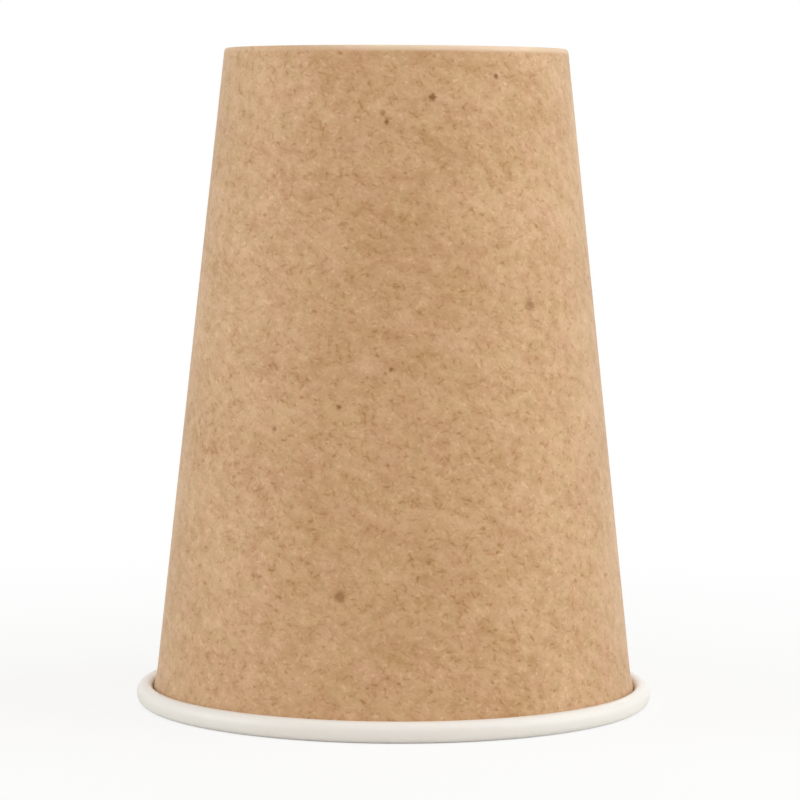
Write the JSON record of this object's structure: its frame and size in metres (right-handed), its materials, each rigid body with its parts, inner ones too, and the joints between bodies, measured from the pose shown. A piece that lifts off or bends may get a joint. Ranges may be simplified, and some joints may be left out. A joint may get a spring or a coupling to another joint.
{
  "type": "paper coffee cup",
  "caption": "Tapered single-wall paper cup with a rolled rim, a lapped side seam and a recessed base, standing mouth down.",
  "frame": {"origin": "centre of the mouth, on the plane that the rolled rim rests on", "axes": "+Z along the cup's axis, from the mouth up to the foot, because the cup stands mouth down; X and Y are equal but for the side seam at the back left"},
  "size_m": [0.09, 0.09, 0.114],
  "materials": {
    "kraft_board": "matte brown kraft face outside, white satin coated face inside and over the rolled rim",
    "white_board": "white, satin coated"
  },
  "bodies": {
    "root": {"side_wall": "kraft_board", "base_disc": "white_board"}
  },
  "joints": []
}
